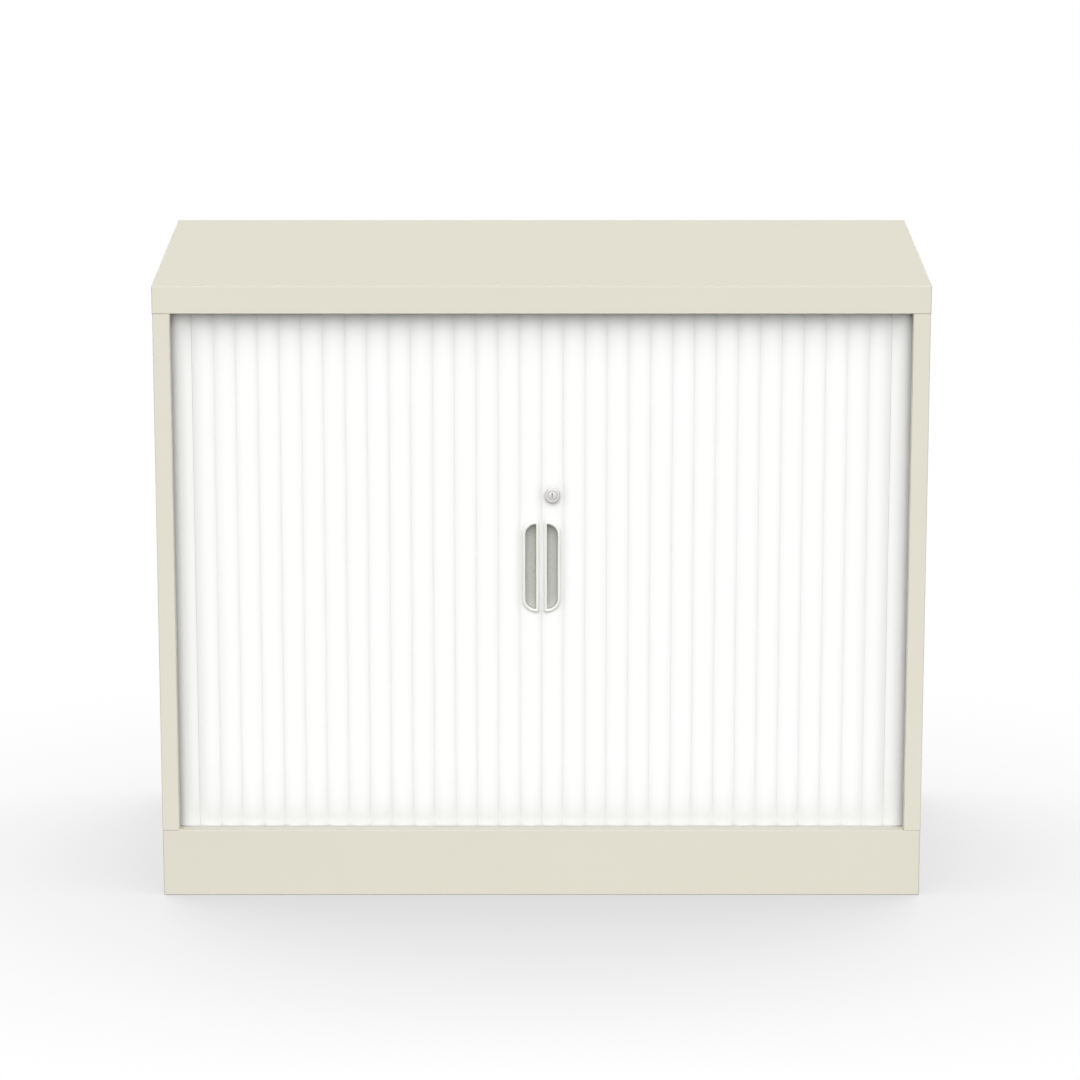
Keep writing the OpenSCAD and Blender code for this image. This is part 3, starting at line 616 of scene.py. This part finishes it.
def stackAway(piece, number, sign):
    xs = [sign * corner.co.x for corner in piece.data.vertices]
    nearX, farX = min(xs), max(xs)
    if number == 3:
        nearX, farX = slat["pitch"] * 2 + slat["valley"] / 2, slat["pitch"] * 3 - slat["valley"] / 2
        toNear, toFar = nearX + stack["travel"], stack["joinX"]
    else:
        toNear = stack["firstX"] + (number - 4) * stack["step"]
        toFar = toNear + stack["width"]
    keep = (toFar - toNear) / (farX - nearX)
    anchor = (toFar - keep * farX) / (1 - keep)
    sign * anchor
    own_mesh(piece)


followingSlat = modelSlat()
runs = beadRuns()
for side, sign in (("left", -1), ("right", 1)):
    for number in range(2, slat["count"] + 1):
        start, end = beadLine(runs[number - 1]), beadLine(runs[number])
        turn = math.atan2(end.y - start.y, end.x - start.x)
        move = Matrix.Translation((start.x, start.y, 0)) @ Matrix.Rotation(turn, 4, "Z")
        piece = copyOf(followingSlat, f"{side}Slat{number:02d}", move if sign > 0 else mirrorX @ move)
        if number < slat["firstTail"]:
            replaced = [f"{side}_slat_{number:02d}"]
        else:
            replaced = [f"{side}_tail_slats"] if number == slat["firstTail"] else []
        dress(piece, "curtain_plastic", side + "_door" if number == 2 else "carcass", *replaced)
        if number > 2:
            stackAway(piece, number, sign)
bpy.data.objects.remove(followingSlat)
print("curtain slats:", 2 * (slat["count"] - 1))


pull = {
    "rim": 0.0039, "big": 0.018, "small": 0.003, "least": 0.0008, "bigSteps": 9, "smallSteps": 4,
    "outer": 0.0014, "inner": 0.0012, "fillet": 0.0016, "roundSteps": 4,
    "wall": 0.0012, "skirt": 0.0043, "draft": 0.0003, "fall": 0.0001,
    "frameWall": 0.0014, "play": 0.00015,  # the wall of the frame's pull, and its play in the slat
}
pullLow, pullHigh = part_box("right_pull")


# Runs a line from the picked corner round an arc; a positive angle turns it from right to up,
# as seen from the front
def arcOn(steps, angle, centreX, y, centreZ):
    bpy.ops.mesh.spin(steps=steps, angle=angle, center=(centreX, y, centreZ), axis=(0, 1, 0))


def lineOn(x, z):
    bpy.ops.mesh.extrude_vertices_move(TRANSFORM_OT_translate={"value": (x, 0, z)})


# Outline of a pull at one depth: straight at the meeting line and round outside, drawn in by the inset
def deeLoop(inset, y, filled=False):
    big, small = pull["big"] - inset, max(pull["small"] - inset, pull["least"])
    left, right = pullLow.x + inset, pullHigh.x - inset
    bigX, smallX = pullHigh.x - pull["big"], left + small
    highZ, lowZ = pullHigh.z - pull["big"], pullLow.z + pull["big"]
    reach = big - small
    # Near the rim a short straight joins the two arcs; further in they meet
    straight = smallX < bigX
    steps = pull["bigSteps"] if straight else pull["bigSteps"] + 1
    smallSteps = pull["smallSteps"]
    turn = math.pi / 2 if straight else math.acos((smallX - bigX) / reach)
    rise = reach if straight else math.sqrt(reach ** 2 - (smallX - bigX) ** 2)
    deselectAll()
    bpy.ops.mesh.primitive_plane_add(size=0.01, location=(right, y, lowZ), rotation=(math.pi / 2, 0, 0))
    loop = settle(bpy.context.object, "loop")
    editPiece(loop, "VERT")
    bpy.ops.mesh.select_all(action="SELECT")
    bpy.ops.mesh.merge(type="CENTER")
    lineOn(0, highZ - lowZ)
    arcOn(steps, turn, bigX, y, highZ)
    if straight:
        lineOn(smallX - bigX, 0)
    arcOn(smallSteps, math.pi - turn, smallX, y, highZ + rise)
    lineOn(0, lowZ - highZ - 2 * rise)
    arcOn(smallSteps, math.pi - turn, smallX, y, lowZ - rise)
    if straight:
        lineOn(bigX - smallX, 0)
    arcOn(steps, turn, bigX, y, lowZ)
    bpy.ops.mesh.select_all(action="SELECT")
    bpy.ops.mesh.remove_doubles(threshold=0.000001)
    if filled:
        bpy.ops.mesh.select_all(action="SELECT")
        bpy.ops.mesh.edge_face_add()
    bpy.ops.object.mode_set(mode="OBJECT")
    return loop


# A quarter round from one flank to the next, as pairs of inset and depth
def quarter(fromInset, fromY, toInset, toY, bulgeFirst):
    pairs = []
    for step in range(1, pull["roundSteps"] + 1):
        angle = math.pi / 2 * step / pull["roundSteps"]
        late, early = 1 - math.cos(angle), math.sin(angle)
        across, along = (late, early) if bulgeFirst else (early, late)
        pairs.append((fromInset + (toInset - fromInset) * across, fromY + (toY - fromY) * along))
    return pairs


def modelPull():
    rimY, floorY = pullLow.y, pullHigh.y - pull["frameWall"]
    rim = pull["rim"]
    cup = rim + pull["draft"]
    pairs = [(0, rimY + pull["skirt"]), (0, rimY + pull["outer"])]
    pairs += quarter(0, rimY + pull["outer"], pull["outer"], rimY, True)
    pairs += [(rim - pull["inner"], rimY + pull["fall"])]
    pairs += quarter(rim - pull["inner"], rimY + pull["fall"], rim, rimY + pull["inner"], False)
    rimPairs = len(pairs)
    pairs += [(cup, floorY - pull["fillet"])]
    pairs += quarter(cup, floorY - pull["fillet"], cup + pull["fillet"], floorY, True)
    piece = deeLoop(*pairs[0])
    piece.data.materials.append(finishes["pull_plastic"])
    piece.data.materials.append(cupFinish)
    count = len(piece.data.vertices)
    for number, pair in enumerate(pairs[1:], 1):
        joinTo(piece, deeLoop(*pair))
        lastTwo = range((number - 1) * count, (number + 1) * count)

        # An edge of the new loop, or the open edge of the skin so far
        def isOpen(edge):
            corners = [corner.index for corner in edge.verts]
            bare = all(corner in lastTwo for corner in corners) and not edge.link_faces
            border = all(corner in lastTwo[:count] for corner in corners) and len(edge.link_faces) == 1
            return bare or border

        editPiece(piece, "EDGE")
        pickEdges(piece, isOpen)
        bpy.ops.mesh.bridge_edge_loops()
        piece.active_material_index = 1 if number >= rimPairs else 0
        bpy.ops.object.material_slot_assign()
        bpy.ops.object.mode_set(mode="OBJECT")
    editPiece(piece, "EDGE")
    pickEdges(piece, lambda edge: all(abs(corner.co.y - floorY) < 1e-6 for corner in edge.verts))
    bpy.ops.mesh.edge_face_add()
    piece.active_material_index = 1
    bpy.ops.object.material_slot_assign()
    bpy.ops.mesh.select_all(action="SELECT")
    bpy.ops.mesh.normals_make_consistent(inside=False)
    bpy.ops.object.mode_set(mode="OBJECT")
    floor = min(piece.data.polygons, key=lambda face: abs(face.center.y - floorY) - face.area)
    if floor.normal.y > 0:
        piece.data.flip_normals()
    shell = piece.modifiers.new("shell", "SOLIDIFY")
    shell.thickness, shell.offset = pull["wall"], -1
    takeUp(piece)
    bpy.ops.object.modifier_apply(modifier=shell.name)
    smoothOver(piece, 40)
    return piece


def dressPull(piece, side):
    piece.name = piece.data.name = side + "Pull"
    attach(piece, side + "_door")
    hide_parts(side + "_pull")


rightPull = modelPull()
dressPull(copyOf(rightPull, "leftPull", mirrorX), "left")
dressPull(rightPull, "right")
print("pulls: 2")


# The holes for the lock and the striker's screws: how wide, and from where to where along Y
lockHole = {"radius": 0.0082, "front": -0.23, "back": -0.19, "sides": 48}
strikerHole = {"radius": 0.0016, "front": -0.213, "back": -0.19, "sides": 16}
strikerScrews = {"headRadius": 0.0028, "places": (-0.019, -0.007)}
leadMiddle = slat["pitch"] / 2
barrelLow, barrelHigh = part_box("lock_barrel")
lockX, lockZ = (barrelLow.x + barrelHigh.x) / 2, (barrelLow.z + barrelHigh.z) / 2


# A lead slat closes against its twin on the centre line; it has no ring, and its ends are plugged
def modelLeadSlat():
    left, right = slat["valley"] / 2, slat["pitch"] - slat["valley"] / 2
    piece = crownedBar(left, right, leadMiddle, 0, footZ, headZ)
    softenValley(piece, left, right)
    low, high = footZ + slat["plug"], headZ - slat["plug"]
    carve(piece, crownedBar(left, right, leadMiddle, slat["wall"], low, high))
    carve(piece, beadStrip(right, slat["pitch"] + slat["beadBack"]), "UNION")
    piece.data.transform(Matrix.Translation((0, beadLineY, 0)))
    # The pull sinks into a mouth of its own outline, with a little play round its wall
    inset = pull["rim"] - pull["frameWall"] - pull["play"]
    mouth = deeLoop(inset, beadLineY + slat["ring"] + cutOpenBy, True)
    editPiece(mouth)
    bpy.ops.mesh.select_all(action="SELECT")
    through = (0, -slat["thick"] - 2 * cutOpenBy, 0)
    bpy.ops.mesh.extrude_region_move(TRANSFORM_OT_translate={"value": through})
    bpy.ops.object.mode_set(mode="OBJECT")
    cleanUp(mouth)
    carve(piece, mouth)
    return piece


def drill(piece, hole, atX, atZ):
    carve(piece, addRod(hole["radius"], hole["front"], hole["back"], "Y", (atX, atZ), hole["sides"]))


def dressLead(piece, side):
    cleanUp(piece)
    smoothOver(piece)
    dress(piece, "curtain_plastic", side + "_door", side + "_lead_slat")


rightLead = modelLeadSlat()
leftLead = copyOf(rightLead, "leftLeadSlat", mirrorX)
rightLead.name = rightLead.data.name = "rightLeadSlat"
drill(rightLead, lockHole, lockX, lockZ)
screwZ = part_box("striker_screws")[0].z + strikerScrews["headRadius"]
for screwX in strikerScrews["places"]:
    drill(leftLead, strikerHole, screwX, screwZ)
dressLead(rightLead, "right")
dressLead(leftLead, "left")
print("lead slats: 2")


lock = {
    "plug": 0.006, "barrel": 0.008, "collar": 0.00975, "bevel": 0.0016, "bevelSteps": 5, "seat": 0.005,
    "slotWide": 0.0018, "slotHigh": 0.0074, "slotDeep": 0.003,
    "mouthWide": 0.0008, "mouthDeep": 0.0004, "play": 0.0001,
    "tail": 0.0025, "tailHalf": 0.0035, "screwHole": 0.002, "screwDeep": 0.006, "sides": 64,
    # The plug's front edge, as pairs of inset and depth
    "plugEdge": ((0, 0.0005), (0.0002, 0.00015), (0.0005, 0)),
}


# Rings about a line along Y: each step goes to a radius and a depth, and both ends are closed
def ringStack(name, steps):
    deselectAll()
    radius, depth = steps[0]
    bpy.ops.mesh.primitive_circle_add(
        vertices=lock["sides"], radius=radius, location=(lockX, depth, lockZ),
        rotation=(math.pi / 2, 0, 0), fill_type="NGON")
    piece = settle(bpy.context.object, name)
    editPiece(piece)
    bpy.ops.mesh.select_all(action="SELECT")
    for nextRadius, nextDepth in steps[1:]:
        bpy.ops.mesh.extrude_region_move(TRANSFORM_OT_translate={"value": (0, nextDepth - depth, 0)})
        bpy.ops.transform.resize(value=(nextRadius / radius, 1, nextRadius / radius),
                                 center_override=(lockX, nextDepth, lockZ))
        radius, depth = nextRadius, nextDepth
    bpy.ops.object.mode_set(mode="OBJECT")
    cleanUp(piece, fineMerge)
    return piece


def modelLockBody():
    faceY, seatY, endY = barrelLow.y, barrelLow.y + lock["seat"], barrelHigh.y
    steps = [(lock["barrel"], endY), (lock["barrel"], seatY), (lock["collar"], seatY)]
    # The collar's edge is rounded in a quarter turn
    for step in range(lock["bevelSteps"] + 1):
        angle = math.pi / 2 * step / lock["bevelSteps"]
        steps.append((lock["collar"] - lock["bevel"] * (1 - math.cos(angle)),
                      faceY + lock["bevel"] * (1 - math.sin(angle))))
    # A slant leads down to the plug
    deep = lock["mouthDeep"]
    steps += [(lock["plug"] + lock["mouthWide"], faceY), (lock["plug"] + deep, faceY + deep)]
    body = ringStack("lockBody", steps)
    bore = lock["plug"] + lock["play"]
    carve(body, addRod(bore, faceY - cutPastBy, endY + cutPastBy, "Y", (lockX, lockZ), lock["sides"]))
    cleanUp(body, fineMerge)
    smoothOver(body, 30)
    dress(body, "lock_metal", "right_door", "lock_barrel")


def modelLockPlug():
    plugLow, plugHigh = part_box("lock_plug")
    frontY = plugLow.y
    shoulderY = plugHigh.y - lock["tail"]
    edge = [(lock["plug"] - inset, frontY + depth) for inset, depth in lock["plugEdge"]]
    plug = ringStack("lockPlug", [(lock["plug"], shoulderY)] + edge)
    # A square tail carries the cam
    half = lock["tailHalf"]
    carve(plug, addBox((lockX - half, shoulderY - cutOpenBy, lockZ - half),
                       (lockX + half, plugHigh.y, lockZ + half)), "UNION")
    # A spring shutter closes the key slot just behind the face
    wide, high = lock["slotWide"] / 2, lock["slotHigh"] / 2
    carve(plug, addBox((lockX - wide, frontY - 2 * cutOpenBy, lockZ - high),
                       (lockX + wide, frontY + lock["slotDeep"], lockZ + high)))
    deepY = shoulderY - lock["screwDeep"]
    carve(plug, addRod(lock["screwHole"], deepY, plugHigh.y + cutOpenBy, "Y", (lockX, lockZ), 24))
    cleanUp(plug, fineMerge)
    smoothOver(plug, 30)
    dress(plug, "lock_metal", "lock_core", "lock_plug")


modelLockBody()
modelLockPlug()
print("lock: 2")


studio = {
    "lens": 157.4, "cameraAt": (-0.002, -6.174, 1.985), "tilt": 75.82,
    "sensor": 36, "farEnd": 200, "dome": 0.3, "floorSize": 60.0, "floorBounce": 0.17,
    "shade": 0.45, "shadeReach": 0.7, "shadeSamples": 24, "lean": 0.3,
    # Each soft lamp: turn round the cupboard from the front, height over the floor, strength, softness
    "lamps": [("key", 0, 38.5, 3.16, 70), ("leftFill", -115, 4, 1.05, 16), ("rightFill", 115, 4, 1.05, 16),
              ("leftBack", -150, 2, 0.8, 14), ("rightBack", 150, 2, 0.8, 14)],
}


# One where a ray comes from the camera, off a shiny surface or through a clear one, else nothing
def seenRays(finish):
    path = {name: finish.node("ShaderNodeLightPath", {}, {}, name)
            for name in ("Is Camera Ray", "Is Glossy Ray", "Is Transmission Ray")}
    return (path["Is Camera Ray"] + path["Is Glossy Ray"] + path["Is Transmission Ray"]).limited()


def layFloor():
    deselectAll()
    bpy.ops.mesh.primitive_plane_add(size=studio["floorSize"], location=(0, 0, 0))
    floor = bpy.context.object
    floor.name = floor.data.name = "floor"
    finish = Finish("paleFloor")
    grey = studio["floorBounce"]
    lit = finish.node("ShaderNodeBsdfDiffuse", {}, {"Color": (grey, grey, grey, 1)})
    # Seen directly the floor is white, and greyer where the cupboard hides the room from it.
    # The normal leans to the back, as the light comes from in front
    lean = finish.node("ShaderNodeCombineXYZ", {}, {"X": 0.0, "Y": studio["lean"], "Z": 1.0})
    openness = finish.openness(studio["shadeSamples"], Distance=studio["shadeReach"], Normal=lean)
    seen = finish.node("ShaderNodeEmission", {}, {
        "Color": (1, 1, 1, 1), "Strength": 1 - (1 - openness) * studio["shade"]})
    finish.out(finish.node("ShaderNodeMixShader", {}, {0: seenRays(finish), 1: lit, 2: seen}))
    floor.data.materials.append(finish.holder)


def lightStudio():
    world = bpy.data.worlds.new("studio")
    bpy.context.scene.world = world
    sky = Finish("sky", world)
    dim = sky.node("ShaderNodeBackground", {}, {"Color": (1, 1, 1, 1), "Strength": studio["dome"]})
    white = sky.node("ShaderNodeBackground", {}, {"Color": (1, 1, 1, 1), "Strength": 1.0})
    mixed = sky.node("ShaderNodeMixShader", {}, {0: seenRays(sky), 1: dim, 2: white})
    sky.out(mixed, "ShaderNodeOutputWorld")
    for name, turn, height, strength, softness in studio["lamps"]:
        deselectAll()
        bpy.ops.object.light_add(type="SUN", location=(0, 0, 3),
                                 rotation=(math.radians(90 - height), 0, math.radians(turn)))
        lamp = bpy.context.object
        lamp.name = name
        lamp.data.energy = strength
        lamp.data.angle = math.radians(softness)


def setCamera():
    deselectAll()
    bpy.ops.object.camera_add(location=studio["cameraAt"], rotation=(math.radians(studio["tilt"]), 0, 0))
    camera = bpy.context.object
    camera.data.sensor_width = studio["sensor"]
    camera.data.lens = studio["lens"]
    camera.data.clip_end = studio["farEnd"]
    bpy.context.scene.camera = camera


layFloor()
lightStudio()
setCamera()
bpy.context.scene.view_settings.view_transform = "Standard"
print("studio set")
